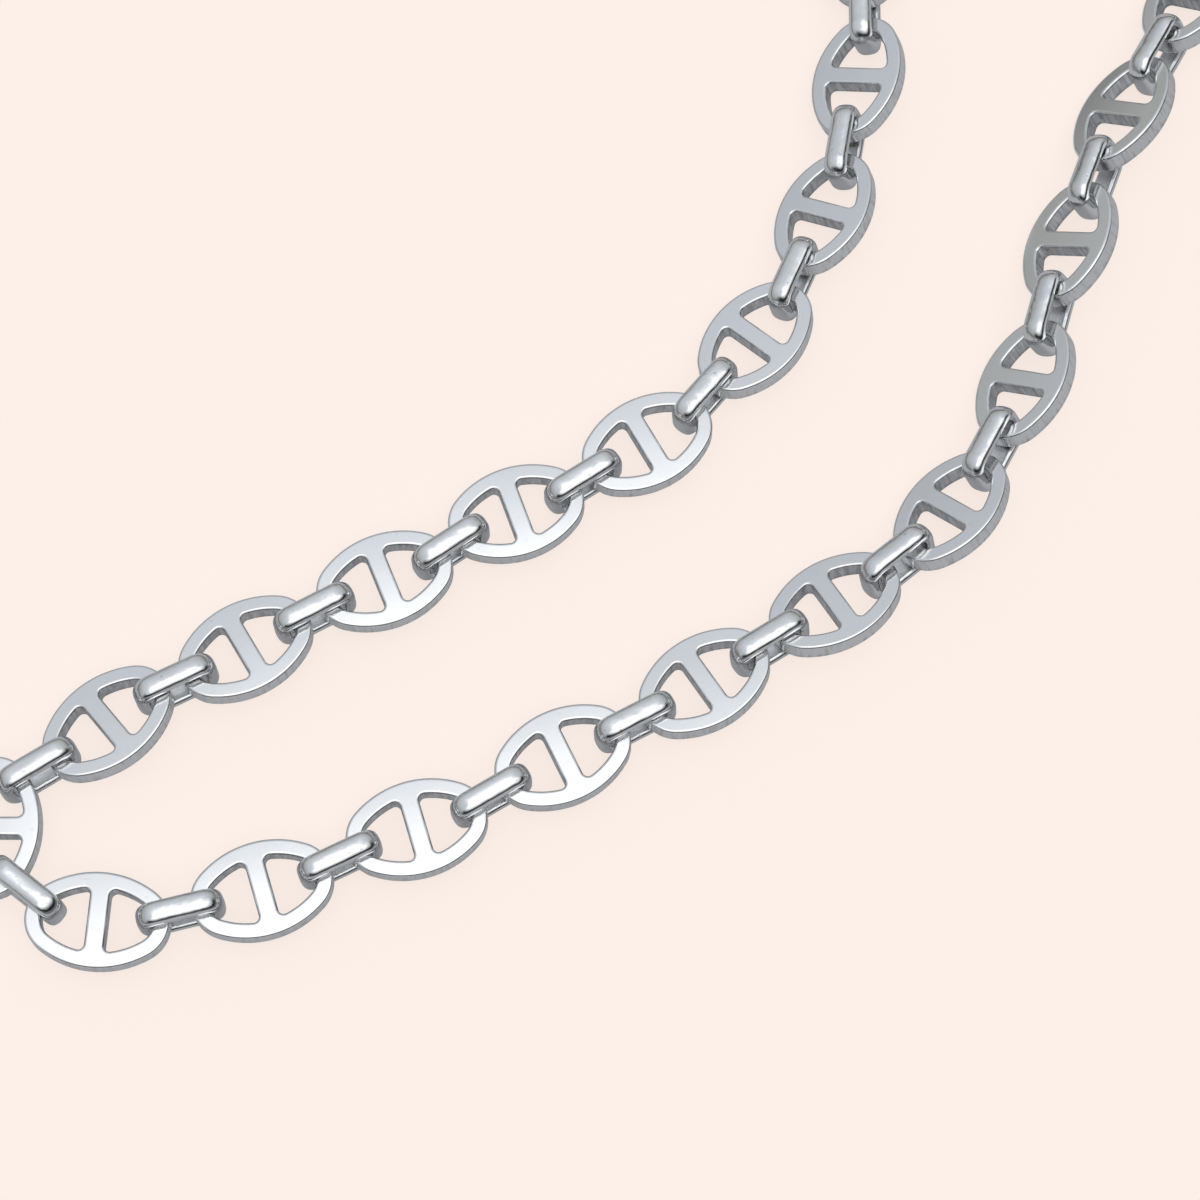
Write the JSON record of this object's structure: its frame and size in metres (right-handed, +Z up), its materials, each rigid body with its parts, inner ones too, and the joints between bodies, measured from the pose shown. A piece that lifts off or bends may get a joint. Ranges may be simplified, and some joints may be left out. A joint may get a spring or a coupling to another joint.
{
  "type": "mariner link necklace chain",
  "caption": "Closed necklace chain of flat oval links with a crossbar, joined by short domed connector links, lying in a long loop with a plain box clasp.",
  "frame": {"origin": "middle of the chain's box at the level of the surface it lies on", "axes": "+Z up from the surface, +Y along the loop's longer way towards the clasp, +X to the right"},
  "size_m": [0.138, 0.1875, 0.0062],
  "materials": {
    "barred_links": "polished silver with fine satin wear",
    "connectors": "polished silver, domed",
    "clasp": "polished silver"
  },
  "bodies": {
    "root": {"anchor_link_01": "barred_links", "anchor_link_02": "barred_links", "anchor_link_03": "barred_links", "anchor_link_04": "barred_links", "anchor_link_05": "barred_links", "anchor_link_06": "barred_links", "anchor_link_07": "barred_links", "anchor_link_08": "barred_links", "anchor_link_09": "barred_links", "anchor_link_10": "barred_links", "anchor_link_11": "barred_links", "anchor_link_12": "barred_links", "anchor_link_13": "barred_links", "anchor_link_14": "barred_links", "anchor_link_15": "barred_links", "anchor_link_16": "barred_links", "anchor_link_17": "barred_links", "anchor_link_18": "barred_links", "anchor_link_19": "barred_links", "anchor_link_20": "barred_links", "anchor_link_21": "barred_links", "anchor_link_22": "barred_links", "anchor_link_23": "barred_links", "anchor_link_24": "barred_links", "anchor_link_25": "barred_links", "anchor_link_26": "barred_links", "anchor_link_27": "barred_links", "anchor_link_28": "barred_links", "anchor_link_29": "barred_links", "anchor_link_30": "barred_links", "anchor_link_31": "barred_links", "anchor_link_32": "barred_links", "anchor_link_33": "barred_links", "anchor_link_34": "barred_links", "anchor_link_35": "barred_links", "connector_links": "connectors", "clasp": "clasp"}
  },
  "joints": []
}
